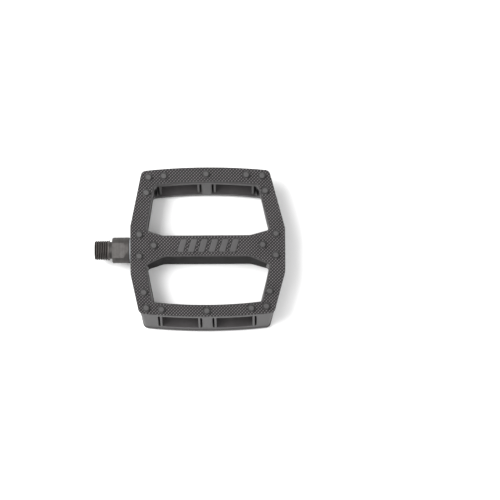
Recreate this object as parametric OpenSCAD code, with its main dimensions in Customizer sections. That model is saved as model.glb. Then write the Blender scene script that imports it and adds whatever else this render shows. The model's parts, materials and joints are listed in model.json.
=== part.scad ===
// Flat platform pedal with a moulded plastic body on a steel spindle.
// X runs along the spindle, outboard positive, and X = 0 is the face that stops against the crank.
// Z is normal to the tread. All sizes are in millimetres.

/* [Pedal body] */
// Thickness between the two tread faces
thickness = 26.5; // [24:0.5:30]
// Distance from the crank face to the centre line of the body
body_x = 67.5; // [66:0.5:72]
// Distance from the centre line to the inboard end face
inboard_half = 54.1; // [52:0.1:56]
// Distance from the centre line to the outboard end face
outboard_half = 55.7; // [54:0.1:58]
// Half length of the body at mid thickness
half_length = 53; // [50:0.1:56]
// Lean of the front and rear faces from the vertical
face_lean = 24; // [20:0.5:28]
// Radius of the bow of the front and rear faces
face_bow = 480; // [400:10:700]
// Half width of the straight middle of the inboard end face
inboard_flat = 17; // [14:0.5:20]
// Half width of the straight middle of the outboard end face
outboard_flat = 15.5; // [13:0.5:18]
// Angle of the inboard end face beyond its straight middle
inboard_slope = 12; // [8:0.5:14]
// Angle of the outboard end face beyond its straight middle
outboard_slope = 15.2; // [10:0.1:16]

/* [Frame windows] */
// Width of the inboard end rail
inboard_rail = 11.6; // [11:0.1:15]
// Width of the outboard end rail
outboard_rail = 11.3; // [11:0.1:15]
// Rail side of a frame window, from the spindle axis at mid thickness
window_far = 43.55; // [41:0.05:44]
// Lean of the window's rail side from the vertical
window_far_lean = 20.1; // [18:0.1:22]
// Bow radius of the window's rail side
window_bow = 360; // [300:10:500]
// Spine side of a frame window, from the spindle axis at mid thickness
window_near = 7.27; // [7.2:0.01:7.6]
// Lean of the window's spine side from the vertical
window_near_lean = 13.5; // [10:0.5:13.5]
// Distance from the centre line at which the spine starts to flare
flare_start = 31; // [28:0.5:32]
// Angle of the flare in plan
flare_angle = 24.5; // [20:0.5:28]

/* [Small windows] */
// Half height of the windows in the front and rear rails
rail_window_z = 8.5; // [5:0.5:9]
// Inner end of a rail window, from the centre line
rail_window_start = 3.6; // [3:0.1:6]
// Outer end of a rail window, from the centre line
rail_window_end = 35.2; // [33:0.1:35.5]
// Width of the ribs that stand near both ends of a rail window
rib_width = 1.6; // [1:0.1:2]
// Half height of the windows in the end rails
end_window_z = 6.2; // [5:0.1:7]
// Inner end of an end rail window, from the spindle axis
end_window_start = 15; // [14.5:0.5:17]
// Outer end of an end rail window at mid thickness
end_window_end = 43; // [38:0.5:43]
// Corner radius of the end rail windows
end_window_r = 2.6; // [1:0.1:3]

/* [Traction pins] */
// Diameter of a pin where it meets the tread
pin_base_d = 4.2; // [3.6:0.1:5]
// Diameter of a pin at its top
pin_top_d = 3.8; // [3:0.1:4.2]
// Height of a pin above the tread
pin_h = 2.7; // [2:0.1:4]

/* [Spindle] */
// Major diameter of the crank thread (9/16 inch)
thread_d = 14.288; // [14.288]
// Pitch of the crank thread (20 per inch)
thread_pitch = 1.27; // [1.27]
// Distance from the crank face to the threaded end
thread_reach = 12.5; // [12:0.5:14]
// Diameter of the collar that the wrench holds
collar_d = 18.4; // [18:0.1:20]
// Length of the collar
collar_len = 12.3; // [11:0.1:12.3]
// Distance across the wrench flats
wrench_size = 15; // [15]
// Length of the wrench flats
flat_len = 8; // [6:0.5:9]
// Diameter of the inner journal
journal_d = 12; // [12]

/* [Bearings] */
// Bore of the two cartridge bearings
bearing_bore = 8; // [8]
// Outside diameter of the cartridge bearings
bearing_od = 16; // [16]
// Width of one cartridge bearing
bearing_w = 5; // [5]
// Diameter of a bearing ball
ball_d = 2.2; // [2:0.1:2.3]
// Balls in each bearing
ball_count = 9; // [7:1:9]

/* [End cap] */
// Diameter of the visible face of the end cap
cap_d = 18; // [17:0.1:18.4]
// Diameter of the recess round the cap
cap_recess_d = 19.1; // [18.8:0.1:19.6]

/* [Hidden] */

round_fn = 96;          // facets of turned parts in the preview mesh
bow_fn = 720;           // facets of the long shallow bows
corner_steps = 4;       // steps round a corner of an outline
half_t = thickness / 2;
far = 100;              // longer than any side of the body
body_in_x = body_x - inboard_half;
body_out_x = body_x + outboard_half;

// Stations along the spindle
seal_x = collar_len + 0.1;
seal_end_x = body_in_x + 1.2;
bushing_x = seal_end_x + 0.2;
bushing_end_x = bushing_x + 14;
bush_pocket_end_x = bushing_end_x + 0.2;
taper_x = 30;           // the spindle narrows from here
taper_end_x = 35;       // to here
taper_room_end_x = taper_end_x + 1;
bearing_a_x = body_x + 36;
bearing_b_x = bearing_a_x + bearing_w;
bearings_end_x = bearing_b_x + bearing_w;
nut_x = bearings_end_x + 1.3;
nut_hex_end_x = nut_x + 3.5;
nut_end_x = nut_hex_end_x + 1.7;
spindle_end_x = nut_end_x + 0.2;
cap_ledge_x = body_out_x - 1.6;

// Radii along the spindle and its bore
relief_r = 6;           // neck between the crank thread and the collar
core_r = 4.9;           // spindle between the bushing and the bearings
core_bore_r = 5.4;      // body bore round that length
taper_bore_r = 6.5;     // body bore round the spindle's taper
seal_r = 9;
bushing_r = 7.5;
bushing_gap = 0.04;     // running clearance on the journal, per side
nut_bore_r = 8.6;       // body bore round the nut, which holds the cap
nut_flats = 13;
nut_collar_r = 6.2;     // round top of the nut, which holds the insert
insert_r = 5.2;
washer_r = 6.5;         // outer step of the washer, clear of the bearing's shield

// Bearing section
inner_ring_r = 5.2;
outer_ring_bore_r = 6.9;
ball_circle_r = (inner_ring_r + outer_ring_bore_r) / 2;
race_r = ball_d / 2 + 0.04;
cage_wall = 1;
cage_w = 3;
shield_t = 0.35;
shield_inset = 0.05;
shield_gap = 0.15;

// Raised motif on the spine: a row of plain leaning bars
motif_h = 0.4;
motif_bars = 6;
motif_bar_w = 4.4;
motif_bar_l = 9.2;
motif_pitch = 7.4;
motif_lean = 3;
motif_x = 1.2;
motif_y = 3.2;

// Pin centres on the top tread, from the centre line and the spindle axis
REAR_PINS = [[-40.7, 51.8], [-29.9, 52.6], [0, 53.9], [28.4, 53.2], [39.6, 52.4]];
FRONT_PINS = [[-42.9, -40.7], [-32.2, -41.8], [0, -43], [31.5, -41.2], [42.2, -39.9]];
SIDE_PINS = [[-42.4, 40.9], [41.8, 41.9], [-44.6, -29.7], [44.6, -29.2]];
SPINE_PINS = [[-47.5, 11.3], [49.3, 11.5], [-37.3, 3.5], [39.8, 3.75], [-47.7, -4], [49.1, -3.7]];
PINS = concat(REAR_PINS, FRONT_PINS, SIDE_PINS, SPINE_PINS);

// Points of one corner b between neighbours a and c, rounded to radius r
function corner(a, b, c, r) =
  let (u = (a - b) / norm(a - b), v = (c - b) / norm(c - b))
  let (half = acos(u * v) / 2, centre = b + (u + v) / norm(u + v) * r / sin(half))
  let (start = b + u * r / tan(half) - centre, first = atan2(start[1], start[0]))
  let (turn = (180 - 2 * half) * sign(v[0] * u[1] - v[1] * u[0]))
  [for (i = [0:corner_steps]) centre + r * [cos(first + turn * i / corner_steps),
                                            sin(first + turn * i / corner_steps)]];

// An outline with all its corners rounded
function rounded(p, r) =
  let (n = len(p))
  [for (i = [0:n - 1]) each corner(p[(i + n - 1) % n], p[i], p[(i + 1) % n], r)];

// A turned solid round the spindle axis, from points [radius, x]
module turned(points) {
  rotate([0, 90, 0]) rotate_extrude($fn = round_fn) polygon(points);
}

// A plain cylinder or tube on the spindle axis, from x0 to x1
module tube(r_out, x0, x1, r_in = 0) {
  turned([[r_in, x0], [r_out, x0], [r_out, x1], [r_in, x1]]);
}

// A tall prism whose walls lean along Y as they rise
module leaning(angle) {
  rotate([-angle, 0, 0]) linear_extrude(height = 2 * far, center = true) children();
}

// Plan of the end faces: straight in the middle, sloping back to the corners.
// Each end face is moved towards the centre line by its own inset.
function end_plan(inset_in, inset_out) =
  let (xi = inset_in - inboard_half, xo = outboard_half - inset_out, y = half_length + 20)
  let (ri = (y - inboard_flat) * tan(inboard_slope), ro = (y - outboard_flat) * tan(outboard_slope))
  [[xi, -inboard_flat], [xi + ri, -y], [xo - ro, -y], [xo, -outboard_flat],
   [xo, outboard_flat], [xo - ro, y], [xi + ri, y], [xi, inboard_flat]];

// The body before anything is cut from it
module body_block() {
  lean_half = half_length * cos(face_lean);
  intersection() {
    translate([-far, -far, -half_t]) cube([2 * far, 2 * far, thickness]);
    linear_extrude(height = 2 * far, center = true) polygon(end_plan(0, 0));
    leaning(face_lean) intersection() {
      translate([0, lean_half - face_bow]) circle(r = face_bow, $fn = bow_fn);
      translate([0, face_bow - lean_half]) circle(r = face_bow, $fn = bow_fn);
    }
  }
}

// The upper frame window, between the spine and the rear rail
module frame_window() {
  far_y = window_far * cos(window_far_lean);
  near_y = window_near * cos(window_near_lean);
  flare_run = far - flare_start;
  flare_y = window_near + flare_run * tan(flare_angle);
  intersection() {
    linear_extrude(height = thickness + 2, center = true)
      polygon(end_plan(inboard_rail, outboard_rail));
    leaning(window_far_lean) translate([0, far_y - window_bow]) circle(r = window_bow, $fn = bow_fn);
    leaning(window_near_lean) translate([-far, near_y]) square([2 * far, far]);
    leaning(window_near_lean - 3)
      polygon([[-far, far], [-far, flare_y], [-flare_start, window_near],
               [flare_start, window_near], [far, flare_y], [far, far]]);
  }
}

// The openings of the front rail, with a rib standing near both ends of each
module rail_windows() {
  rib_gap = 1.4;
  inner_rib = rail_window_start + rib_gap;
  outer_rib = rail_window_end - rib_gap;
  spans = [[rail_window_start, inner_rib],
           [inner_rib + rib_width, outer_rib - rib_width],
           [outer_rib, rail_window_end]];
  for (side = [-1, 1], span = spans) {
    width = span[1] - span[0];
    translate([side * (span[0] + span[1]) / 2 - width / 2, -far, -rail_window_z])
      cube([width, far - window_far + 10, 2 * rail_window_z]);
  }
}

// Outline of an end rail window in the YZ plane, its outer end leaning with the rear face
function end_window_outline() =
  let (lean = end_window_z * tan(face_lean))
  rounded([[end_window_start, -end_window_z], [end_window_end - lean, -end_window_z],
           [end_window_end + lean, end_window_z], [end_window_start, end_window_z]], end_window_r);

// The openings of both end rails above the spine
module end_windows() {
  slope_room = 8;         // for the slope of the end faces
  depth = max(inboard_rail, outboard_rail) + slope_room;
  for (x = [-inboard_half - 1, outboard_half + 1 - depth])
    translate([x, 0, 0]) rotate([90, 0, 90])
      linear_extrude(height = depth) polygon(end_window_outline());
}

// The stepped bore along the spine that holds the bushing, the bearings and the cap
module spine_bore() {
  tube(seal_r, body_in_x - 1, seal_end_x);
  tube(bushing_r, seal_end_x - 1, bush_pocket_end_x);
  tube(taper_bore_r, bush_pocket_end_x - 1, taper_room_end_x);
  tube(core_bore_r, taper_room_end_x - 1, bearing_a_x + 1);
  tube(bearing_od / 2, bearing_a_x, bearings_end_x + 1);
  tube(nut_bore_r, bearings_end_x, cap_ledge_x + 1);
  tube(cap_recess_d / 2, cap_ledge_x, body_out_x + 1);
}

module traction_pins() {
  for (p = PINS)
    translate([p[0], p[1], half_t - 1])
      cylinder(h = pin_h + 1, d1 = pin_base_d, d2 = pin_top_d, $fn = 32);
}

module motif() {
  first = -(motif_bars - 1) / 2;
  for (i = [0:motif_bars - 1])
    translate([(first + i) * motif_pitch + motif_x, motif_y, half_t - 1])
      linear_extrude(height = motif_h + 1)
        polygon([[-motif_bar_w / 2 - motif_lean / 2, -motif_bar_l / 2],
                 [motif_bar_w / 2 - motif_lean / 2, -motif_bar_l / 2],
                 [motif_bar_w / 2 + motif_lean / 2, motif_bar_l / 2],
                 [-motif_bar_w / 2 + motif_lean / 2, motif_bar_l / 2]]);
}

module pedal_body() {
  color("dimgray") difference() {
    translate([body_x, 0, 0]) difference() {
      union() {
        body_block();
        for (turn = [0, 180]) rotate([turn, 0, 0]) {
          traction_pins();
          motif();
        }
      }
      for (turn = [0, 180]) rotate([turn, 0, 0]) {
        frame_window();
        rail_windows();
        end_windows();
      }
    }
    spine_bore();
  }
}

// Flange in the recess of the outboard face, and a ring that presses into the bore
module end_cap() {
  color("gray") {
    ring_x = nut_hex_end_x + 0.3;
    floor_x = nut_end_x + 0.5;
    turned([[0, floor_x], [nut_bore_r - 0.9, floor_x], [nut_bore_r - 0.9, ring_x],
            [nut_bore_r, ring_x], [nut_bore_r, cap_ledge_x], [cap_d / 2, cap_ledge_x],
            [cap_d / 2, body_out_x - 0.3], [cap_d / 2 - 0.3, body_out_x], [0, body_out_x]]);
  }
}

// Lipped rubber ring between the collar and the body
module dust_seal() {
  color("slategray") difference() {
    tube(seal_r, seal_x, seal_end_x, journal_d / 2 + 0.06);
    tube(seal_r - 1, seal_x - 1, seal_x + 0.2);
  }
}

module inner_bushing() {
  color("peru") tube(bushing_r, bushing_x, bushing_end_x, journal_d / 2 + bushing_gap);
}

// Radius along a thread of parallel V grooves: crest and root points from x0 on
function thread_points(r, x0, count, pitch, depth) =
  [for (i = [0:count - 1]) let (x = x0 + i * pitch)
    each [[r, x], [r, x + pitch * 0.2], [r - depth, x + pitch * 0.55], [r - depth, x + pitch * 0.65]]];

// The milled flat of one side, with its pointed run-out at the outboard end
module wrench_flat() {
  z = wrench_size / 2;
  top = collar_d / 2;
  base = sqrt(top * top - z * z) + 0.4;
  run_out = 3.4;
  translate([-1, -far / 2, z]) cube([flat_len + 1, far, far]);
  intersection() {
    translate([0, far / 2, 0]) rotate([90, 0, 0]) linear_extrude(height = far)
      polygon([[flat_len - 0.5, z], [flat_len, z], [flat_len + run_out, top - 0.35],
               [flat_len + run_out, top + 1], [flat_len - 0.5, top + 1]]);
    linear_extrude(height = far)
      polygon([[flat_len - 0.5, -base], [flat_len, -base], [flat_len + run_out, 0],
               [flat_len, base], [flat_len - 0.5, base]]);
  }
}

module spindle() {
  r = thread_d / 2;
  journal = journal_d / 2;
  end_r = bearing_bore / 2;
  chamfer = 0.8;
  thread_start_x = chamfer - thread_reach;
  crank_turns = 7;
  thread_depth = 0.7;
  relief_x = -2.3;
  relief_cone = 0.2;
  nut_turns = 5;
  nut_pitch = 1;
  nut_thread_depth = 0.45;
  collar_edge = 0.7;
  drill_r = 3;            // centre drilling at the crank end
  drill_depth = 2.5;
  nut_drill_r = 2;        // and at the nut end
  nut_drill_depth = 1.5;
  color("dimgray") difference() {
    turned(concat(
      [[0, -thread_reach], [r - chamfer, -thread_reach]],
      thread_points(r, thread_start_x, crank_turns, thread_pitch, thread_depth),
      [[r, thread_start_x + crank_turns * thread_pitch], [r, relief_x]],
      [[relief_r, relief_x + relief_cone], [relief_r, 0]],
      [[collar_d / 2 - collar_edge, 0], [collar_d / 2, collar_edge], [collar_d / 2, collar_len]],
      [[journal, collar_len], [journal, taper_x], [core_r, taper_end_x], [core_r, bearing_a_x]],
      [[end_r, bearing_a_x], [end_r, nut_x - 0.2]],
      thread_points(end_r, nut_x, nut_turns, nut_pitch, nut_thread_depth),
      [[end_r - 0.5, spindle_end_x], [0, spindle_end_x]]));
    for (turn = [0, 180]) rotate([turn, 0, 0]) wrench_flat();
    turned([[0, -thread_reach - 1], [drill_r, -thread_reach - 1], [0, drill_depth - thread_reach]]);
    turned([[0, spindle_end_x + 1], [nut_drill_r, spindle_end_x + 1],
            [0, spindle_end_x - nut_drill_depth]]);
  }
}

module stepped_washer() {
  color("silver") difference() {
    union() {
      tube(inner_ring_r, bearings_end_x, nut_x);
      tube(washer_r, bearings_end_x + 0.3, nut_x);
    }
    tube(bearing_bore / 2, bearings_end_x - 1, nut_x + 1);
  }
}

module locknut() {
  color("silver") difference() {
    union() {
      translate([nut_x, 0, 0]) rotate([0, 90, 0])
        cylinder(h = nut_hex_end_x - nut_x, r = nut_flats / 2 / cos(30), $fn = 6);
      tube(nut_collar_r, nut_hex_end_x - 0.5, nut_end_x);
    }
    tube(bearing_bore / 2, nut_x - 1, nut_end_x + 1);
    tube(insert_r, nut_hex_end_x + 0.1, nut_end_x - 0.15);
  }
}

module locknut_insert() {
  color("royalblue") tube(insert_r, nut_hex_end_x + 0.1, nut_end_x - 0.15, bearing_bore / 2);
}

// Groove of both races, as a ring of the ball's section
module race_groove(x) {
  translate([x + bearing_w / 2, 0, 0]) rotate([0, 90, 0])
    rotate_extrude($fn = round_fn) translate([ball_circle_r, 0]) circle(r = race_r, $fn = 32);
}

module outer_ring(x) {
  color("lightsteelblue") difference() {
    tube(bearing_od / 2, x, x + bearing_w, outer_ring_bore_r);
    race_groove(x);
  }
}

module inner_ring(x) {
  color("lightsteelblue") difference() {
    tube(inner_ring_r, x, x + bearing_w, bearing_bore / 2);
    race_groove(x);
  }
}

// One sphere at each ball's place, all of radius r
module ball_ring(x, r) {
  for (i = [0:ball_count - 1])
    rotate([i * 360 / ball_count, 0, 0])
      translate([x + bearing_w / 2, 0, ball_circle_r]) sphere(r = r, $fn = 32);
}

module balls(x) {
  color("white") ball_ring(x, ball_d / 2);
}

module cage(x) {
  color("goldenrod") difference() {
    tube(ball_circle_r + cage_wall / 2, x + (bearing_w - cage_w) / 2,
         x + (bearing_w + cage_w) / 2, ball_circle_r - cage_wall / 2);
    ball_ring(x, ball_d / 2 + 0.06);
  }
}

// A shield whose outboard face is at x
module shield(x) {
  color("black") tube(outer_ring_bore_r, x - shield_t, x, inner_ring_r + shield_gap);
}

pedal_body();
end_cap();
dust_seal();
inner_bushing();
spindle();
stepped_washer();
locknut();
locknut_insert();
outer_ring(bearing_a_x);  // bearing_a_outer_ring
inner_ring(bearing_a_x);  // bearing_a_inner_ring
balls(bearing_a_x);  // bearing_a_balls
cage(bearing_a_x);  // bearing_a_cage
shield(bearing_a_x + shield_inset + shield_t);  // bearing_a_inboard_shield
shield(bearing_b_x - shield_inset);  // bearing_a_outboard_shield
outer_ring(bearing_b_x);  // bearing_b_outer_ring
inner_ring(bearing_b_x);  // bearing_b_inner_ring
balls(bearing_b_x);  // bearing_b_balls
cage(bearing_b_x);  // bearing_b_cage
shield(bearing_b_x + shield_inset + shield_t);  // bearing_b_inboard_shield
shield(bearings_end_x - shield_inset);  // bearing_b_outboard_shield
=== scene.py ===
"""Flat pedal: detailed meshes, materials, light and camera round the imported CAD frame.

Shapes are worked out in millimetres from the pedal's centre line and spindle axis,
and scaled to metres when a piece is finished.
"""

import json
import math

import bmesh
import bpy
import numpy as np
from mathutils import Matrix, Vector


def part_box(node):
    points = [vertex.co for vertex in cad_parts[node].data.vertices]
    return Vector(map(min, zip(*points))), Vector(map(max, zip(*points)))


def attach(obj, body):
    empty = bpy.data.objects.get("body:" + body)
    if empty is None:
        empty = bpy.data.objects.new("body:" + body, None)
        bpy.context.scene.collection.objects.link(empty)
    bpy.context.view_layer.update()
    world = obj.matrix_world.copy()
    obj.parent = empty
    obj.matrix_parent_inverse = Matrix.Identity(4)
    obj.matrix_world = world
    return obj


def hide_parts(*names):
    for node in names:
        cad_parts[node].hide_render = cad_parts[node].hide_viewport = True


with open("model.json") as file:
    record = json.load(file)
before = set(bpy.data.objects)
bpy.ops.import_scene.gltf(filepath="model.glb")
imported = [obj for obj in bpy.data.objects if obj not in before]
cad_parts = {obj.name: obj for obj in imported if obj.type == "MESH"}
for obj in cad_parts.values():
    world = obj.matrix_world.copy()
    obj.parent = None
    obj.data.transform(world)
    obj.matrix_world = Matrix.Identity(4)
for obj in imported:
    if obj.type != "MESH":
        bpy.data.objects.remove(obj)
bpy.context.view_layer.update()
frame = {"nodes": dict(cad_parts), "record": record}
MM = 0.001

# ---------------------------------------------------------------- places from the frame
body_low, body_high = (np.array(corner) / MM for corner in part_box("pedal_body"))
cap_low, cap_high = (np.array(corner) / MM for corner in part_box("end_cap"))
seal_low, seal_high = (np.array(corner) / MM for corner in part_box("dust_seal"))
spindle_low, spindle_high = (np.array(corner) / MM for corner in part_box("spindle"))

INBOARD = 54.1                       # centre line to the inboard end face
OUTBOARD = 55.7                      # centre line to the outboard end face
CENTRE_X = body_low[0] + INBOARD     # centre line of the body, along the spindle
PIN_H = 2.7
HALF_T = body_high[2] - PIN_H        # tread face, at the knurl's tops
FLOOR_Z = body_low[2]                # the pedal lies on its lower pins

# ---------------------------------------------------------------- camera
CAMERA_HEIGHT = 1650.0               # above the floor
CAMERA_X = CENTRE_X + 30.9
CAMERA_Y = 25.0                      # rearwards of the spindle axis
AIM_Y = -0.14                        # where it looks, at the height of the tread
CAMERA_ROLL = -0.35                  # degrees
camera_data = bpy.data.cameras.new("camera")
camera_data.sensor_width = 36.0
camera_data.lens = 164.7
camera_data.clip_end = 20.0
camera = bpy.data.objects.new("camera", camera_data)
camera.location = (CAMERA_X * MM, CAMERA_Y * MM, (FLOOR_Z + CAMERA_HEIGHT) * MM)
camera_drop = FLOOR_Z + CAMERA_HEIGHT - HALF_T
camera.rotation_euler = (-math.atan2(CAMERA_Y - AIM_Y, camera_drop), 0.0, math.radians(CAMERA_ROLL))
bpy.context.scene.collection.objects.link(camera)
bpy.context.scene.camera = camera


# ---------------------------------------------------------------- outline helpers
def unit(v):
    return v / np.linalg.norm(v)


def corner_arc(a, b, c, r, steps):
    """Points of corner b between a and c, rounded to radius r."""
    u, v = unit(a - b), unit(c - b)
    half = math.acos(max(-1.0, min(1.0, float(u @ v)))) / 2
    centre = b + unit(u + v) * r / math.sin(half)
    start = b + u * r / math.tan(half) - centre
    side = 1.0 if v[0] * u[1] - v[1] * u[0] > 0 else -1.0
    turn = side * (math.pi - 2 * half)
    first = math.atan2(start[1], start[0])
    angles = [first + turn * i / steps for i in range(steps + 1)]
    return [centre + r * np.array([math.cos(t), math.sin(t)]) for t in angles]


def rounded(points, radii, steps=6):
    """A closed outline; radii gives each point's corner radius, 0 for none."""
    out = []
    n = len(points)
    for i, (p, r) in enumerate(zip(points, radii)):
        if r > 0:
            out += corner_arc(points[i - 1], p, points[(i + 1) % n], r, steps)
        else:
            out.append(p)
    return np.array(out)


def moved_out(points, d):
    """A counter-clockwise outline moved outwards by d, point for point."""
    edge = np.roll(points, -1, axis=0) - points
    edge = edge / np.linalg.norm(edge, axis=1)[:, None]
    after = np.stack([edge[:, 1], -edge[:, 0]], axis=1)
    before = np.roll(after, 1, axis=0)
    dot = np.sum(after * before, axis=1)[:, None]
    return points + d * (after + before) / (1 + dot)


def at_height(points, z):
    return np.column_stack([points, np.full(len(points), z)])


# ---------------------------------------------------------------- mesh helpers
def new_object(name, verts, faces):
    mesh = bpy.data.meshes.new(name)
    mesh.from_pydata([tuple(v) for v in verts], [], [tuple(f) for f in faces])
    mesh.validate()
    obj = bpy.data.objects.new(name, mesh)
    bpy.context.scene.collection.objects.link(obj)
    return obj


def ring_faces(count, levels):
    """Quads between levels of count points each, and a face at each end."""
    faces = []
    for k in range(levels - 1):
        low, high = k * count, (k + 1) * count
        for i in range(count):
            j = (i + 1) % count
            faces.append((low + i, low + j, high + j, high + i))
    faces.append(tuple(range(count - 1, -1, -1)))
    top = (levels - 1) * count
    faces.append(tuple(range(top, top + count)))
    return faces


def loft(name, rings):
    """A closed solid through rings of 3-D points, listed counter-clockwise and from the bottom up."""
    return new_object(name, np.concatenate(rings), ring_faces(len(rings[0]), len(rings)))


def face_outwards(obj):
    work = bmesh.new()
    work.from_mesh(obj.data)
    bmesh.ops.recalc_face_normals(work, faces=work.faces)
    work.to_mesh(obj.data)
    work.free()
    return obj


def turned(name, profile, x0=0.0, steps=96):
    """A solid of revolution about the X axis through points (x, radius), from low x to high x."""
    angles = [2 * math.pi * i / steps for i in range(steps)]
    rings = []
    for x, r in profile:
        rings.append(np.array([[x0 + x, r * math.cos(t), r * math.sin(t)] for t in angles]))
    return loft(name, rings)


def tube(name, x0, x1, outer, inner, edge=0.15, steps=96):
    """A ring about the X axis with small bevels on its four edges."""
    section = [(x0, inner + edge), (x0, outer - edge), (x0 + edge, outer), (x1 - edge, outer),
               (x1, outer - edge), (x1, inner + edge), (x1 - edge, inner), (x0 + edge, inner)]
    count = len(section)
    verts, faces = [], []
    for i in range(steps):
        t = 2 * math.pi * i / steps
        verts += [(x, r * math.cos(t), r * math.sin(t)) for x, r in section]
        for k in range(count):
            m = (k + 1) % count
            nxt = ((i + 1) % steps) * count
            faces.append((i * count + k, i * count + m, nxt + m, nxt + k))
    return face_outwards(new_object(name, verts, faces))


def boolean(obj, other, operation):
    """Applies one boolean to obj and deletes the other object."""
    modifier = obj.modifiers.new("cut", "BOOLEAN")
    modifier.operation = operation
    modifier.solver = "MANIFOLD"
    modifier.object = other
    apply_modifiers(obj)
    bpy.data.objects.remove(other)
    if not obj.data.polygons:
        raise RuntimeError(operation + " left nothing of " + obj.name)
    return obj


def apply_modifiers(obj):
    graph = bpy.context.evaluated_depsgraph_get()
    done = bpy.data.meshes.new_from_object(obj.evaluated_get(graph))
    obj.modifiers.clear()
    old = obj.data
    obj.data = done
    bpy.data.meshes.remove(old)


def flip(obj):
    """Turns obj half round about the spindle axis."""
    coords = vertex_array(obj)
    coords[:, 1:] *= -1
    set_vertices(obj, coords)


def vertex_array(obj):
    coords = np.empty(len(obj.data.vertices) * 3)
    obj.data.vertices.foreach_get("co", coords)
    return coords.reshape(-1, 3)


def set_vertices(obj, coords):
    obj.data.vertices.foreach_set("co", np.ascontiguousarray(coords).ravel())
    obj.data.update()


def finished(obj, shift_x=0.0, sharp_angle=32.0):
    """Moves a piece to its place in metres and gives it crisp and soft edges by their angle."""
    coords = vertex_array(obj)
    coords[:, 0] += shift_x
    set_vertices(obj, coords * MM)
    work = bmesh.new()
    work.from_mesh(obj.data)
    bmesh.ops.dissolve_degenerate(work, dist=1e-7, edges=work.edges)
    limit = math.radians(sharp_angle)
    for face in work.faces:
        face.smooth = True
    for edge in work.edges:
        edge.smooth = edge.is_manifold and edge.calc_face_angle(math.pi) < limit
    work.to_mesh(obj.data)
    work.free()
    modifier = obj.modifiers.new("normals", "WEIGHTED_NORMAL")
    modifier.keep_sharp = True
    modifier.weight = 60
    apply_modifiers(obj)
    return obj


# ---------------------------------------------------------------- body outlines
FACE_LEAN = math.tan(math.radians(24.0))     # front and rear faces
WINDOW_LEAN = math.tan(math.radians(20.1))   # rail side of the frame windows
SPINE_LEAN = 6.35 / 26.5                     # spine side, as an offset over the body's thickness
HALF_LENGTH = 53.0                           # at mid thickness
FACE_BOW = 435.0
WINDOW_FAR = 43.55
WINDOW_BOW = 345.0
SPINE_HALF = 7.27
IN_RAIL = 11.6                               # width of the inboard end rail at mid thickness
OUT_RAIL = 11.3                              # width of the outboard end rail at mid thickness
RAIL_DRAFT = math.tan(math.radians(3.5))     # their window sides open towards both treads
IN_FLAT, IN_SLOPE = 17.0, math.tan(math.radians(12.0))
OUT_FLAT, OUT_SLOPE = 15.5, math.tan(math.radians(15.2))
IN_CORNER_R = 4.0                            # plan radii of the body's outline
OUT_CORNER_R = 3.6
IN_BEND_R = 10.0
OUT_BEND_R = 14.0
WINDOW_CORNER_R = 2.8                        # and of a frame window, at its rail
WINDOW_END_R = 2.6                           # at the spine's ends
FLARE_R = 9.0                                # and where the spine starts to flare
FLARE_START = (30.4, 31.0)                   # that place at the lower and the upper tread face
FLARE_END_Y = (10.4, 14.2)                   # and the flare's far end
BOW_STEPS = 16
KNURL_DEPTH = 0.62
BASE_TOP = HALF_T - KNURL_DEPTH
EDGE_R = 0.7                                 # soft edge round the tread faces
WINDOW_LIP = 0.6                             # chamfer at the rims of the frame windows
KNURL_LIP = 0.32                             # smooth lip round the knurl


def inboard_x(y, inset=0.0):
    return inset - INBOARD + IN_SLOPE * max(0.0, abs(y) - IN_FLAT)


def outboard_x(y, inset=0.0):
    return OUTBOARD - inset - OUT_SLOPE * max(0.0, abs(y) - OUT_FLAT)


def bow(x, radius):
    return radius - math.sqrt(radius * radius - x * x)


def meeting(side_x, edge_y):
    """Where an end face meets a bowed edge."""
    y = edge_y(0.0)
    for _ in range(30):
        x = side_x(y)
        y = edge_y(x)
    return np.array([x, y])


def bowed_edge(start, end, edge_y):
    """Points of a bowed edge strictly between its two corners."""
    xs = np.linspace(start[0], end[0], BOW_STEPS + 1)[1:-1]
    return [np.array([x, edge_y(x)]) for x in xs]


def outer_outline(z):
    """Plan of the body at height z, counter-clockwise seen from above."""
    def rear(x):
        return HALF_LENGTH + FACE_LEAN * z - bow(x, FACE_BOW)

    def front(x):
        return -HALF_LENGTH + FACE_LEAN * z + bow(x, FACE_BOW)

    fl, fr = meeting(inboard_x, front), meeting(outboard_x, front)
    rr, rl = meeting(outboard_x, rear), meeting(inboard_x, rear)
    points, radii = [], []

    def add(items, r):
        points.extend(items)
        radii.extend([r] * len(items))

    add([fl], IN_CORNER_R)
    add(bowed_edge(fl, fr, front), 0)
    add([fr], OUT_CORNER_R)
    add([np.array([OUTBOARD, -OUT_FLAT])], OUT_BEND_R)
    add([np.array([OUTBOARD, OUT_FLAT])], OUT_BEND_R)
    add([rr], OUT_CORNER_R)
    add(bowed_edge(rr, rl, rear), 0)
    add([rl], IN_CORNER_R)
    add([np.array([-INBOARD, IN_FLAT])], IN_BEND_R)
    add([np.array([-INBOARD, -IN_FLAT])], IN_BEND_R)
    return rounded(points, radii)


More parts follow.
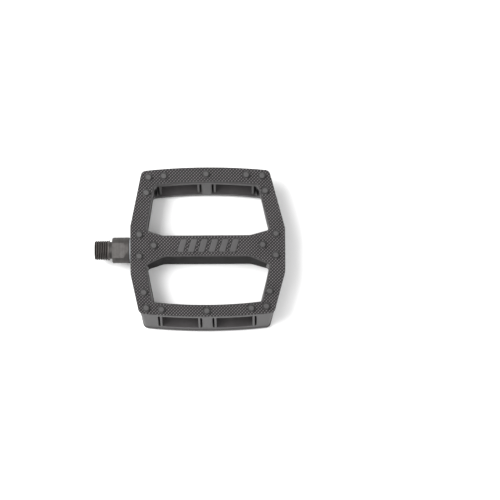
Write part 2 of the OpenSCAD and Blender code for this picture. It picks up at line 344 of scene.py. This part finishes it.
def window_outline(z):
    """Plan of the upper frame window at height z."""
    share = (z + HALF_T) / (2 * HALF_T)
    near = SPINE_HALF + SPINE_LEAN * z
    flare_end_y = FLARE_END_Y[0] + (FLARE_END_Y[1] - FLARE_END_Y[0]) * share
    flare_start_x = FLARE_START[0] + (FLARE_START[1] - FLARE_START[0]) * share

    def rail(x):
        return WINDOW_FAR + WINDOW_LEAN * z - bow(x, WINDOW_BOW)

    def left(y):
        return inboard_x(y, IN_RAIL - RAIL_DRAFT * abs(z))

    def right(y):
        return outboard_x(y, OUT_RAIL - RAIL_DRAFT * abs(z))

    rr, rl = meeting(right, rail), meeting(left, rail)
    points = [np.array([-flare_start_x, near]), np.array([flare_start_x, near]),
              np.array([right(flare_end_y), flare_end_y]), rr]
    radii = [FLARE_R, FLARE_R, WINDOW_END_R, WINDOW_CORNER_R]
    inner = bowed_edge(rr, rl, rail)
    points += inner
    radii += [0] * len(inner)
    points += [rl, np.array([left(flare_end_y), flare_end_y])]
    radii += [WINDOW_CORNER_R, WINDOW_END_R]
    return rounded(points, radii)


def body_block():
    """The outside of the body, with soft edges at the tread faces."""
    rings = []
    soft = [(EDGE_R * (1 - math.cos(t)), EDGE_R * (1 - math.sin(t)))
            for t in np.linspace(math.pi / 2, 0, 5)]
    for inset, drop in soft:
        z = -BASE_TOP + drop
        rings.append(at_height(moved_out(outer_outline(z), inset - EDGE_R), z))
    for inset, drop in reversed(soft):
        z = BASE_TOP - drop
        rings.append(at_height(moved_out(outer_outline(z), inset - EDGE_R), z))
    return loft("pedal_body_mesh", rings)


def window_cutter():
    """The upper frame window, with a small chamfer at both tread faces."""
    half = WINDOW_LIP / 2
    levels = [(-BASE_TOP - 2.0, half + 2.0), (-BASE_TOP, half), (-BASE_TOP + WINDOW_LIP, -half),
              (0.0, -half), (BASE_TOP - WINDOW_LIP, -half), (BASE_TOP, half),
              (BASE_TOP + 2.0, half + 2.0)]
    return loft("window", [at_height(moved_out(window_outline(z), d), z) for z, d in levels])


def knurl_window(lower):
    """Clears the knurled skin of the upper face over a frame window and its lip."""
    outline = moved_out(window_outline(-BASE_TOP if lower else BASE_TOP), WINDOW_LIP / 2 + KNURL_LIP)
    if lower:
        outline = outline[::-1] * np.array([1.0, -1.0])
    return loft("window", [at_height(outline, BASE_TOP - 2.0), at_height(outline, BASE_TOP + 3.0)])


# ---------------------------------------------------------------- small windows and ribs
RAIL_WINDOW_Z = 8.5
RAIL_WINDOW_X = (3.6, 35.2)
RIB_W = 1.6
RIB_GAP = 1.4
RIB_RECESS = 0.7
END_WINDOW_Z = 6.2
END_WINDOW_Y = (15.0, 43.0)


def rounded_box_outline(x0, x1, z0, z1, r):
    corners = [np.array(p) for p in ((x0, z0), (x1, z0), (x1, z1), (x0, z1))]
    return rounded(corners, [r] * 4, steps=4)


def front_face_y(x, z):
    return -HALF_LENGTH + FACE_LEAN * z + bow(x, FACE_BOW)


def front_inner_y(x, z):
    """The rail side of the lower frame window."""
    return -(WINDOW_FAR - WINDOW_LEAN * z - bow(x, WINDOW_BOW))


def rail_window_cutter(side):
    """One opening through the front rail, with a chamfered mouth on both faces."""
    x0, x1 = RAIL_WINDOW_X
    lip = 0.45
    rings = []
    outline = rounded_box_outline(x0, x1, -RAIL_WINDOW_Z, RAIL_WINDOW_Z, 1.0)

    def ring(face_y, beyond, grow):
        pts = moved_out(outline, grow)
        return np.array([(side * x, face_y(x, z) + beyond, z) for x, z in pts])

    rings.append(ring(front_inner_y, 2.0, lip + 2.0))
    rings.append(ring(front_inner_y, 0.0, lip))
    rings.append(ring(front_inner_y, -lip, 0.0))
    rings.append(ring(front_face_y, lip, 0.0))
    rings.append(ring(front_face_y, 0.0, lip))
    rings.append(ring(front_face_y, -2.0, lip + 2.0))
    return face_outwards(loft("rail_window", rings))


def rib(x0, x1):
    """A rib across a rail window, set back a little from both faces and rounded at its edges."""
    soft = 0.45
    top = RAIL_WINDOW_Z + 0.8
    rings = []
    for z in np.linspace(-top, top, 5):
        y_out = front_face_y((x0 + x1) / 2, z) + RIB_RECESS
        y_in = front_inner_y((x0 + x1) / 2, z) - RIB_RECESS
        corners = [np.array(p) for p in ((x0, y_out), (x1, y_out), (x1, y_in), (x0, y_in))]
        rings.append(at_height(rounded(corners, [soft] * 4, steps=3), z))
    return loft("rib", rings)


def end_window_cutter(side):
    """The opening through one end rail above the spine; side is -1 inboard, 1 outboard."""
    lean = END_WINDOW_Z * FACE_LEAN
    y0, y1 = END_WINDOW_Y
    corners = [np.array(p) for p in ((y0, -END_WINDOW_Z), (y1 - lean, -END_WINDOW_Z),
                                     (y1 + lean, END_WINDOW_Z), (y0, END_WINDOW_Z))]
    outline = rounded(corners, [2.8] * 4, steps=6)
    side_x, rail = (inboard_x, IN_RAIL) if side < 0 else (outboard_x, OUT_RAIL)
    lip = 0.8

    def ring(inset, grow):
        pts = moved_out(outline, grow)
        return np.array([(side_x(y, inset), y, z) for y, z in pts])

    rings = [ring(-2.0, lip + 2.0), ring(0.0, lip), ring(lip, 0.0),
             ring(rail - 0.5, 0.0), ring(rail, 0.5), ring(rail + 2.0, 2.5)]
    return face_outwards(loft("end_window", rings))


# ---------------------------------------------------------------- tread: knurl, pins, motif
KNURL_PITCH = 1.61
KNURL_FLAT = 0.30                   # flat top left between two grooves
CROSS_DEPTH = 0.50                  # depth of the grooves that cross the main ones
PIN_MOAT = 2.85                     # radius of the clear ring round a pin's foot
CLEAR_Z = BASE_TOP + 0.03           # floor of that ring and of the clear line round a bar
KNURL_REACH = 90.0                  # grooves run past every edge of the tread
PIN_FOOT_R = 2.3
PIN_R = 2.12
PIN_EDGE = [(0.32, 1.93), (0.10, 1.84), (0.0, 1.62)]    # depth below the pin's top, radius
REAR_PINS = [(-40.7, 51.8), (-29.9, 52.6), (0.0, 53.9), (28.4, 53.2), (39.6, 52.4)]
FRONT_PINS = [(-42.9, -40.7), (-32.2, -41.8), (0.0, -43.0), (31.5, -41.2), (42.2, -39.9)]
SIDE_PINS = [(-42.4, 40.9), (41.8, 41.9), (-44.6, -29.7), (44.6, -29.2)]
SPINE_PINS = [(-47.5, 11.3), (49.3, 11.5), (-37.3, 3.5), (39.8, 3.75), (-47.7, -4.0), (49.1, -3.7)]
MOTIF_BARS = 6
MOTIF_PITCH = 7.4
MOTIF_SHIFT = (1.2, 3.2)
MOTIF_W, MOTIF_L, MOTIF_LEAN = 4.4, 9.2, 3.0
MOTIF_H = 0.3


def knurl_comb(angle, depth):
    """A plate of parallel V teeth that cuts one family of grooves."""
    direction = np.array([math.cos(angle), math.sin(angle)])
    normal = np.array([-direction[1], direction[0]])
    count = int(KNURL_REACH / KNURL_PITCH)
    end = count * KNURL_PITCH + KNURL_PITCH / 2
    half = (KNURL_PITCH - KNURL_FLAT) / 2
    profile = [(-end, HALF_T + 2.0), (-end, HALF_T)]
    for k in range(-count, count + 1):
        middle = k * KNURL_PITCH
        profile += [(middle - half, HALF_T), (middle, HALF_T - depth), (middle + half, HALF_T)]
    profile += [(end, HALF_T), (end, HALF_T + 2.0)]
    ends = []
    for reach in (-KNURL_REACH, KNURL_REACH):
        ends.append(np.array([tuple(direction * reach + normal * n) + (z,) for n, z in profile]))
    return face_outwards(loft("comb", ends))


def motif_outline(index):
    x = MOTIF_SHIFT[0] + (index - (MOTIF_BARS - 1) / 2) * MOTIF_PITCH
    y = MOTIF_SHIFT[1]
    low, high = y - MOTIF_L / 2, y + MOTIF_L / 2
    w, lean = MOTIF_W / 2, MOTIF_LEAN / 2
    corners = [np.array(p) for p in ((x - w - lean, low), (x + w - lean, low),
                                     (x + w + lean, high), (x - w + lean, high))]
    return rounded(corners, [0.9] * 4, steps=4)


def raised(name, outline, z0, z1, bevel):
    """A prism from z0 to z1 with a bevelled top edge."""
    rings = [at_height(outline, z0), at_height(outline, z1 - bevel),
             at_height(moved_out(outline, -bevel * 0.3), z1 - bevel * 0.3),
             at_height(moved_out(outline, -bevel), z1)]
    return loft(name, rings)


def circle_outline(x, y, r, steps=28):
    angles = [2 * math.pi * i / steps for i in range(steps)]
    return np.array([(x + r * math.cos(t), y + r * math.sin(t)) for t in angles])


def traction_pin(x, y):
    """A slightly tapered round pin with a soft top edge and a wider foot."""
    levels = [(BASE_TOP - 0.6, PIN_FOOT_R), (HALF_T - 0.15, PIN_FOOT_R), (HALF_T + 0.15, PIN_R)]
    levels += [(HALF_T + PIN_H - depth, r) for depth, r in PIN_EDGE]
    return loft("pin", [at_height(circle_outline(x, y, r), z) for z, r in levels])


def tread_plate():
    """The knurled skin of the upper face, with its pins and motif."""
    outline = moved_out(outer_outline(BASE_TOP), -KNURL_LIP)
    plate = loft("tread", [at_height(outline, BASE_TOP - 0.5), at_height(outline, HALF_T)])
    boolean(plate, knurl_window(lower=False), "DIFFERENCE")
    boolean(plate, knurl_window(lower=True), "DIFFERENCE")
    boolean(plate, knurl_comb(math.radians(45), KNURL_DEPTH), "DIFFERENCE")
    boolean(plate, knurl_comb(math.radians(-45), CROSS_DEPTH), "DIFFERENCE")
    for index in range(MOTIF_BARS):
        trench = moved_out(motif_outline(index), 0.45)
        boolean(plate, loft("trench", [at_height(trench, CLEAR_Z),
                                       at_height(trench, HALF_T + 1.0)]), "DIFFERENCE")
    for index in range(MOTIF_BARS):
        bar = raised("bar", motif_outline(index), BASE_TOP - 0.4, HALF_T + MOTIF_H, 0.3)
        boolean(plate, bar, "UNION")
    for x, y in REAR_PINS + FRONT_PINS + SIDE_PINS + SPINE_PINS:
        moat = circle_outline(x, y, PIN_MOAT)
        boolean(plate, loft("moat", [at_height(moat, CLEAR_Z),
                                     at_height(moat, HALF_T + 1.0)]), "DIFFERENCE")
        boolean(plate, traction_pin(x, y), "UNION")
    return plate


# ---------------------------------------------------------------- the body
def build_body():
    body = body_block()
    for turn in (False, True):
        cutters = [window_cutter(), end_window_cutter(-1), end_window_cutter(1),
                   rail_window_cutter(-1), rail_window_cutter(1)]
        ribs = []
        x0, x1 = RAIL_WINDOW_X
        for side in (-1, 1):
            for start in (x0 + RIB_GAP, x1 - RIB_GAP - RIB_W):
                ends = sorted((side * start, side * (start + RIB_W)))
                ribs.append(rib(*ends))
        for cutter in cutters:
            if turn:
                flip(cutter)
            boolean(body, face_outwards(cutter), "DIFFERENCE")
        for piece in ribs:
            if turn:
                flip(piece)
            boolean(body, face_outwards(piece), "UNION")
    plate = tread_plate()
    twin = bpy.data.objects.new("tread_twin", plate.data.copy())
    bpy.context.scene.collection.objects.link(twin)
    flip(twin)
    boolean(body, plate, "UNION")
    boolean(body, twin, "UNION")
    for cutter in bore_cutters():
        boolean(body, cutter, "DIFFERENCE")
    return body


SEAL_R = 9.0
BUSHING_R = 7.5
TAPER_ROOM_R = 6.5
CORE_BORE_R = 5.4
BEARING_R = 8.0
NUT_BORE_R = 8.6
CAP_RECESS_R = 9.55
CAP_T = 1.6                         # depth of the cap's recess
BUSHING_END = 29.0 - CENTRE_X       # stations of the bore, from the centre line
TAPER_END = 36.0 - CENTRE_X
BEARINGS = (36.0, 46.0)


def bore_cutters():
    """The stepped bore, the seal's pocket and the cap's recess, from the centre line."""
    mouth = 0.4
    lap = 0.2                   # each bore starts inside the one before it
    stations = [
        ((-INBOARD - 1, SEAL_R + mouth + 1), (-INBOARD + mouth, SEAL_R), (-INBOARD + 1.2, SEAL_R)),
        ((-INBOARD + 1.2 - lap, BUSHING_R), (BUSHING_END + lap, BUSHING_R)),
        ((BUSHING_END, TAPER_ROOM_R), (TAPER_END, TAPER_ROOM_R)),
        ((TAPER_END - 0.5, CORE_BORE_R), (BEARINGS[0] + 0.5, CORE_BORE_R)),
        ((BEARINGS[0], BEARING_R), (BEARINGS[1] + lap, BEARING_R)),
        ((BEARINGS[1], NUT_BORE_R), (OUTBOARD - CAP_T + lap, NUT_BORE_R)),
        ((OUTBOARD - CAP_T, CAP_RECESS_R), (OUTBOARD - 0.3, CAP_RECESS_R),
         (OUTBOARD + 1, CAP_RECESS_R + 1.3)),
    ]
    return [turned("bore", profile) for profile in stations]


# ---------------------------------------------------------------- spindle
THREAD_R = 7.144
THREAD_PITCH = 1.27
THREAD_DEPTH = 0.78
END_CHAMFER = 1.0
COLLAR_R = 9.2
COLLAR_END = 12.3
JOURNAL_R = 6.0                     # also the neck between thread and collar
CORE_R = 4.9
FLAT_Z = 7.5                        # half the 15 mm across the wrench flats
FLAT_END = 8.0
RUN_OUT = 3.4                       # length of the pointed run-out


def thread_depth(phase, depth):
    """Depth of a rounded V thread at a phase from 0 to 1."""
    distance = abs(phase - 0.5) * 2
    return depth * min(1.0, max(0.0, (1.0 - distance) * 1.35 - 0.12))


def threaded_rod(name, envelope, pitch, depth, x0, x1, per_turn=14, steps=72):
    """A turned rod along X whose radius follows envelope(x), with a helical thread from x0 to x1."""
    xs = list(np.arange(x0, x1, pitch / per_turn)) + [x1]
    rings = []
    for x in xs:
        ring = []
        for i in range(steps):
            t = 2 * math.pi * i / steps
            phase = ((x - x0) / pitch - i / steps) % 1.0
            fade = min(1.0, max(0.0, (x1 - x) / pitch))
            r = min(envelope(x), THREAD_R - thread_depth(phase, depth) * fade)
            ring.append((x, r * math.cos(t), r * math.sin(t)))
        rings.append(np.array(ring))
    return loft(name, rings)


def build_spindle():
    x0 = spindle_low[0]

    def envelope(x):
        return min(THREAD_R, THREAD_R - END_CHAMFER + (x - x0))

    rod = threaded_rod("spindle_mesh", envelope, THREAD_PITCH, THREAD_DEPTH, x0, -2.0)
    collar = turned("collar", [(-2.6, JOURNAL_R - 0.1), (0.0, JOURNAL_R - 0.1),
                               (0.0, COLLAR_R - 0.75), (0.12, COLLAR_R - 0.55),
                               (0.6, COLLAR_R - 0.08), (0.85, COLLAR_R),
                               (COLLAR_END - 0.4, COLLAR_R), (COLLAR_END - 0.15, COLLAR_R - 0.1),
                               (COLLAR_END, COLLAR_R - 0.3), (COLLAR_END, JOURNAL_R),
                               (30.0, JOURNAL_R), (35.0, CORE_R), (36.0, CORE_R)])
    neck = turned("neck", [(-2.3, JOURNAL_R), (0.5, JOURNAL_R)])
    boolean(rod, collar, "UNION")
    boolean(rod, neck, "UNION")
    for turn in (False, True):
        for cutter in wrench_cutters():
            if turn:
                flip(cutter)
            boolean(rod, face_outwards(cutter), "DIFFERENCE")
    drill = turned("drill", [(x0 - 1.0, 3.6), (x0 + 2.3, 0.3), (x0 + 2.6, 0.05)])
    boolean(rod, drill, "DIFFERENCE")
    return rod


def wrench_cutters():
    """One flat and its pointed run-out."""
    beyond = 12.0                       # clear of the collar on every side
    tip_z = 8.85                        # where the run-out ends, just under the collar's round
    base = math.sqrt(COLLAR_R ** 2 - FLAT_Z ** 2) + 0.4
    ring = np.array([(-0.5, -beyond), (FLAT_END, -beyond), (FLAT_END, beyond), (-0.5, beyond)])
    flat = loft("flat", [at_height(ring, FLAT_Z), at_height(ring, beyond)])
    tri = [(FLAT_END - 0.4, -base, FLAT_Z), (FLAT_END, -base, FLAT_Z),
           (FLAT_END + RUN_OUT, 0.0, tip_z),
           (FLAT_END, base, FLAT_Z), (FLAT_END - 0.4, base, FLAT_Z)]
    top = [(x, y, beyond) for x, y, _ in tri]
    wedge = loft("wedge", [np.array(tri), np.array(top)])
    return [flat, wedge]


# ---------------------------------------------------------------- cap and seal
CAP_R = 9.0
PLUG_R = 8.58                       # the part of the cap that sits in the nut's bore
RING_LINE = (7.2, 7.6)              # radii of the groove in the cap's face
RING_LINE_DEPTH = 0.12
CAP_BAR_W = 1.7
CAP_BARS = ((-3.1, 6.2), (0.0, 8.4), (3.1, 6.2))    # y and length of each bar


def build_cap():
    """Plug with a domed edge, and a plain relief of three bars inside a ring line."""
    x1 = cap_high[0]
    ledge = x1 - CAP_T
    inner, outer = RING_LINE
    profile = [(cap_low[0], 7.75), (cap_low[0], PLUG_R - 0.08), (cap_low[0] + 0.15, PLUG_R),
               (ledge, PLUG_R), (ledge, CAP_R - 0.1), (ledge + 0.1, CAP_R), (x1 - 0.55, CAP_R),
               (x1 - 0.3, CAP_R - 0.07), (x1 - 0.1, CAP_R - 0.25), (x1, CAP_R - 0.55),
               (x1, outer), (x1 - RING_LINE_DEPTH, outer - 0.1), (x1 - RING_LINE_DEPTH, inner + 0.1),
               (x1, inner), (x1, 0.01)]
    cap = turned("end_cap_mesh", profile)
    for y0, length in CAP_BARS:
        half_w = CAP_BAR_W / 2
        outline = rounded_box_outline(y0 - half_w, y0 + half_w, -length / 2, length / 2, 0.8)
        rings = []
        for x, d in ((x1 - 0.2, 0.12), (x1, 0.12), (x1 + 0.12, 0.06), (x1 + 0.2, -0.06)):
            rings.append(np.array([(x, y, z) for y, z in moved_out(outline, d)]))
        boolean(cap, face_outwards(loft("bar", rings)), "UNION")
    return cap


def build_seal():
    """Rubber ring with a rounded outer lip."""
    return tube("dust_seal_mesh", seal_low[0], seal_high[0], SEAL_R, JOURNAL_R + 0.06, edge=0.25)


# ---------------------------------------------------------------- materials
def material(name):
    mat = bpy.data.materials.new(name)
    mat.use_nodes = True
    nodes, links = mat.node_tree.nodes, mat.node_tree.links
    shader = nodes["Principled BSDF"]
    coords = nodes.new("ShaderNodeTexCoord")
    return mat, nodes, links, shader, coords


def noise(nodes, links, coords, scale, detail=3.0, roughness=0.5):
    node = nodes.new("ShaderNodeTexNoise")
    node.inputs["Scale"].default_value = scale
    node.inputs["Detail"].default_value = detail
    node.inputs["Roughness"].default_value = roughness
    links.new(coords.outputs["Object"], node.inputs["Vector"])
    return node


def ramp(nodes, links, source, stops):
    node = nodes.new("ShaderNodeValToRGB")
    elements = node.color_ramp.elements
    for element, (place, colour) in zip(elements, stops[:2]):
        element.position = place
        element.color = (*colour, 1.0)
    for place, colour in stops[2:]:
        elements.new(place).color = (*colour, 1.0)
    links.new(source, node.inputs["Fac"])
    return node


def spread(nodes, links, source, low, high):
    node = nodes.new("ShaderNodeMapRange")
    node.inputs["To Min"].default_value = low
    node.inputs["To Max"].default_value = high
    links.new(source, node.inputs["Value"])
    return node


def bump(nodes, links, shader, source, distance, strength=1.0):
    node = nodes.new("ShaderNodeBump")
    node.inputs["Distance"].default_value = distance
    node.inputs["Strength"].default_value = strength
    links.new(source, node.inputs["Height"])
    links.new(node.outputs["Normal"], shader.inputs["Normal"])
    return node


def plastic(name, dark, light, rough=(0.42, 0.56), grain=0.00003):
    """Moulded plastic: a fine spark-eroded grain and a faint cloudy variation."""
    mat, nodes, links, shader, coords = material(name)
    cloud = noise(nodes, links, coords, 90.0, 4.0, 0.6)
    colour = ramp(nodes, links, cloud.outputs["Fac"], [(0.3, dark), (0.7, light)])
    links.new(colour.outputs["Color"], shader.inputs["Base Color"])
    speck = noise(nodes, links, coords, 2600.0, 2.0, 0.6)
    roughness = spread(nodes, links, speck.outputs["Fac"], *rough)
    links.new(roughness.outputs["Result"], shader.inputs["Roughness"])
    bump(nodes, links, shader, speck.outputs["Fac"], grain)
    shader.inputs["IOR"].default_value = 1.5
    return mat


def knurled_plastic_with_painted_light(name, rough):
    """The body's plastic, coloured by height: painted shade darkens whatever lies at the height of the
    knurl's groove floors (the grooves, the clear rings round pins and bars, the lip round the knurl),
    painted highlight lightens the knurl's tops, and pins and bars are a darker grey.
    """
    mat, nodes, links, shader, coords = material(name)
    split = nodes.new("ShaderNodeSeparateXYZ")
    links.new(coords.outputs["Object"], split.inputs["Vector"])
    height = nodes.new("ShaderNodeMath")
    height.operation = "ABSOLUTE"
    links.new(split.outputs["Z"], height.inputs[0])
    level = nodes.new("ShaderNodeMapRange")
    level.inputs["From Min"].default_value = (BASE_TOP - KNURL_DEPTH) * MM
    level.inputs["From Max"].default_value = (HALF_T + KNURL_DEPTH) * MM
    links.new(height.outputs["Value"], level.inputs["Value"])
    # painted shade at the groove floors' height, painted highlight at the knurl's tops
    colour = ramp(nodes, links, level.outputs["Result"], TREAD_PAINTED_SHADE_AND_HIGHLIGHT)
    cloud = noise(nodes, links, coords, 90.0, 4.0, 0.6)
    mottle = spread(nodes, links, cloud.outputs["Fac"], 0.72, 1.28)
    scaled = nodes.new("ShaderNodeVectorMath")
    scaled.operation = "SCALE"
    links.new(colour.outputs["Color"], scaled.inputs["Vector"])
    links.new(mottle.outputs["Result"], scaled.inputs["Scale"])
    links.new(scaled.outputs["Vector"], shader.inputs["Base Color"])
    speck = noise(nodes, links, coords, 2600.0, 2.0, 0.6)
    roughness = spread(nodes, links, speck.outputs["Fac"], *rough)
    links.new(roughness.outputs["Result"], shader.inputs["Roughness"])
    bump(nodes, links, shader, speck.outputs["Fac"], 0.00003)
    shader.inputs["IOR"].default_value = 1.5
    return mat


def paint_thread_shade_and_highlight(mat):
    """Painted shade in the thread's roots and painted highlight on its crests, by distance from the
    axis.
    """
    nodes, links = mat.node_tree.nodes, mat.node_tree.links
    shader = nodes["Principled BSDF"]
    coords = next(node for node in nodes if node.bl_idname == "ShaderNodeTexCoord")
    base = shader.inputs["Base Color"].links[0].from_socket
    across = nodes.new("ShaderNodeVectorMath")
    across.operation = "MULTIPLY"
    across.inputs[1].default_value = (0.0, 1.0, 1.0)
    links.new(coords.outputs["Object"], across.inputs[0])
    radius = nodes.new("ShaderNodeVectorMath")
    radius.operation = "LENGTH"
    links.new(across.outputs["Vector"], radius.inputs[0])
    level = nodes.new("ShaderNodeMapRange")
    level.inputs["From Min"].default_value = (THREAD_R - 1.0) * MM
    level.inputs["From Max"].default_value = (THREAD_R + 0.1) * MM
    links.new(radius.outputs["Value"], level.inputs["Value"])
    shade = ramp(nodes, links, level.outputs["Result"], THREAD_PAINTED_SHADE_AND_HIGHLIGHT)
    scaled = nodes.new("ShaderNodeVectorMath")
    scaled.operation = "MULTIPLY"
    links.new(base, scaled.inputs[0])
    links.new(shade.outputs["Color"], scaled.inputs[1])
    links.new(scaled.outputs["Vector"], shader.inputs["Base Color"])


def turned_steel(name, dark, light, rough=(0.28, 0.42), ring=2400.0, depth=0.000012):
    """Lathe-turned metal: fine rings about the X axis and a mottled surface."""
    mat, nodes, links, shader, coords = material(name)
    cloud = noise(nodes, links, coords, 260.0, 5.0, 0.65)
    colour = ramp(nodes, links, cloud.outputs["Fac"], [(0.3, dark), (0.7, light)])
    links.new(colour.outputs["Color"], shader.inputs["Base Color"])
    stretch = nodes.new("ShaderNodeMapping")
    stretch.inputs["Scale"].default_value = (ring, 30.0, 30.0)
    links.new(coords.outputs["Object"], stretch.inputs["Vector"])
    rings = nodes.new("ShaderNodeTexNoise")
    rings.inputs["Scale"].default_value = 1.0
    rings.inputs["Detail"].default_value = 2.0
    links.new(stretch.outputs["Vector"], rings.inputs["Vector"])
    roughness = spread(nodes, links, rings.outputs["Fac"], *rough)
    links.new(roughness.outputs["Result"], shader.inputs["Roughness"])
    bump(nodes, links, shader, rings.outputs["Fac"], depth)
    shader.inputs["Metallic"].default_value = 1.0
    return mat


def rubber(name, dark, light):
    """Soft matt rubber with a dusty mottling."""
    mat, nodes, links, shader, coords = material(name)
    cloud = noise(nodes, links, coords, 700.0, 4.0, 0.6)
    colour = ramp(nodes, links, cloud.outputs["Fac"], [(0.3, dark), (0.7, light)])
    links.new(colour.outputs["Color"], shader.inputs["Base Color"])
    roughness = spread(nodes, links, cloud.outputs["Fac"], 0.6, 0.8)
    links.new(roughness.outputs["Result"], shader.inputs["Roughness"])
    bump(nodes, links, shader, cloud.outputs["Fac"], 0.00002)
    return mat


def grey(value):
    """The plastic's slightly warm grey."""
    return (value, value * 0.93, value * 0.95)


# Colour against height, from a knurl's depth below the grooves to a knurl's depth above the tops:
# painted shade at the groove floors, painted highlight at the knurl's tops
TREAD_PAINTED_SHADE_AND_HIGHLIGHT = [(0.0, grey(0.040)), (0.32, grey(0.040)), (0.335, grey(0.005)), (0.48, grey(0.018)),
                 (0.65, grey(0.145)), (0.70, grey(0.031)), (1.0, grey(0.024))]

MATERIALS = {
    "body_plastic": knurled_plastic_with_painted_light("body_plastic", (0.42, 0.56)),
    "cap_plastic": plastic("cap_plastic", (0.066, 0.062, 0.063), (0.080, 0.076, 0.077),
                           rough=(0.36, 0.48)),
    "seal_rubber": rubber("seal_rubber", (0.20, 0.21, 0.22), (0.26, 0.27, 0.28)),
    "bush_brass": turned_steel("bush_brass", (0.50, 0.30, 0.12), (0.62, 0.40, 0.18)),
    "spindle_steel": turned_steel("spindle_steel", (0.172, 0.163, 0.158), (0.252, 0.240, 0.234),
                                  rough=(0.60, 0.74)),
    "zinc_steel": turned_steel("zinc_steel", (0.52, 0.53, 0.55), (0.66, 0.66, 0.67)),
    "nylon": plastic("nylon", (0.05, 0.13, 0.42), (0.07, 0.17, 0.50), rough=(0.3, 0.4)),
    "bearing_steel": turned_steel("bearing_steel", (0.58, 0.58, 0.60), (0.70, 0.70, 0.71),
                                  rough=(0.12, 0.22)),
    "ball_steel": turned_steel("ball_steel", (0.72, 0.72, 0.74), (0.80, 0.80, 0.81),
                               rough=(0.04, 0.08)),
    "cage_brass": turned_steel("cage_brass", (0.55, 0.36, 0.13), (0.66, 0.45, 0.19)),
    "shield_rubber": rubber("shield_rubber", (0.02, 0.02, 0.02), (0.035, 0.035, 0.035)),
}


# Share of the steel's colour against radius, from below the thread's roots to just past its crests:
# painted shade in the roots, painted highlight on the crests
THREAD_PAINTED_SHADE_AND_HIGHLIGHT = [(0.0, (0.46, 0.46, 0.46)), (0.10, (0.08, 0.07, 0.07)), (0.45, (0.16, 0.15, 0.15)),
                 (0.86, (1.0, 0.97, 0.95)), (1.0, (0.46, 0.46, 0.46))]
# paints shade into the thread's roots and highlight onto its crests
paint_thread_shade_and_highlight(MATERIALS["spindle_steel"])


SPINE_REACH = 15.0          # the spine's sides lie nearer to the spindle axis than this
FLARE_REACH = 42.0          # and nearer to the centre line than this
BORE_REACH = 5.6            # and outside the spine's own bore


def core_plastic(name, dark, light):
    """The rough finish that the mould's cores leave, which hardly shines."""
    mat = plastic(name, dark, light, rough=(0.80, 0.92))
    mat.node_tree.nodes["Principled BSDF"].inputs["Specular IOR Level"].default_value = 0.15
    return mat


def dull_inner_faces_and_shade_spine(obj):
    """Gives the spine's sides and the small windows' floors and ceilings the cores' finish, and
    colours the spine's sides darker than the body as painted shade.
    """
    # the spine's sides: painted shade, a darker grey than the body
    obj.data.materials.append(core_plastic("spine_painted_shade_plastic", grey(0.012), grey(0.019)))
    obj.data.materials.append(core_plastic("rail_core_plastic", grey(0.036), grey(0.050)))
    for face in obj.data.polygons:
        x, y, z = np.array(face.center) / MM
        across = abs(face.normal[2])
        steep = across < 0.6 and abs(z) < BASE_TOP - WINDOW_LIP
        level = across > 0.9 and abs(z) < RAIL_WINDOW_Z + 1.0
        in_window = abs(x - CENTRE_X) < FLARE_REACH and math.hypot(y, z) > BORE_REACH
        if steep and in_window and abs(y) < SPINE_REACH:
            face.material_index = 1
        elif level and abs(y) > SPINE_REACH:
            face.material_index = 2


def wear(obj, slot_name):
    obj.data.materials.clear()
    obj.data.materials.append(MATERIALS[slot_name])


def place(obj, body, slot_name, *stands_for):
    """Gives a finished piece its material, the body it rides on and the node that it replaces."""
    wear(obj, slot_name)
    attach(obj, body)
    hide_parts(*stands_for)


# ---------------------------------------------------------------- pieces
body = finished(build_body(), CENTRE_X)
place(body, "platform", "body_plastic", "pedal_body")
dull_inner_faces_and_shade_spine(body)
place(finished(build_cap()), "platform", "cap_plastic", "end_cap")
place(finished(build_seal()), "platform", "seal_rubber", "dust_seal")
place(finished(build_spindle()), "spindle_unit", "spindle_steel", "spindle")

slots = {part["node"]: part["material_slot"] for part in frame["record"]["subparts"]}
for node_name, node_object in frame["nodes"].items():
    wear(node_object, slots[node_name])

# ---------------------------------------------------------------- floor and light
FLOOR_SIZE = 8.0
floor_corners = [(-1, -1), (1, -1), (1, 1), (-1, 1)]
floor = new_object("floor", [(x * FLOOR_SIZE, y * FLOOR_SIZE, FLOOR_Z * MM) for x, y in floor_corners],
                   [(0, 1, 2, 3)])
floor_mat, _, _, floor_shader, _ = material("floor")
floor_shader.inputs["Base Color"].default_value = (0.86, 0.86, 0.86, 1.0)
floor_shader.inputs["Roughness"].default_value = 0.9
floor_shader.inputs["Specular IOR Level"].default_value = 0.1
floor.data.materials.append(floor_mat)


def area_light(name, direction, distance, size, power):
    """A square soft box that shines on the pedal from the given direction."""
    data = bpy.data.lights.new(name, "AREA")
    data.shape = "SQUARE"
    data.size = size
    data.energy = power
    light = bpy.data.objects.new(name, data)
    towards = unit(np.array(direction))
    light.location = np.array([CENTRE_X * MM, 0.0, 0.0]) + towards * distance
    light.rotation_euler = tuple(look_along(-towards))
    bpy.context.scene.collection.objects.link(light)


def look_along(direction):
    return Vector(direction).to_track_quat("-Z", "Y").to_euler()


area_light("key", (-0.45, 0.22, 0.86), 1.5, 0.7, 28.0)
area_light("overhead", (0.10, 0.0, 1.0), 2.2, 1.4, 8.0)
area_light("side", (0.72, 0.0, 0.70), 2.2, 1.4, 9.0)

world = bpy.data.worlds.new("studio")
bpy.context.scene.world = world
world.use_nodes = True
background = world.node_tree.nodes["Background"]
background.inputs["Color"].default_value = (1.0, 1.0, 1.0, 1.0)
background.inputs["Strength"].default_value = 0.75
bpy.context.scene.view_settings.view_transform = "Standard"
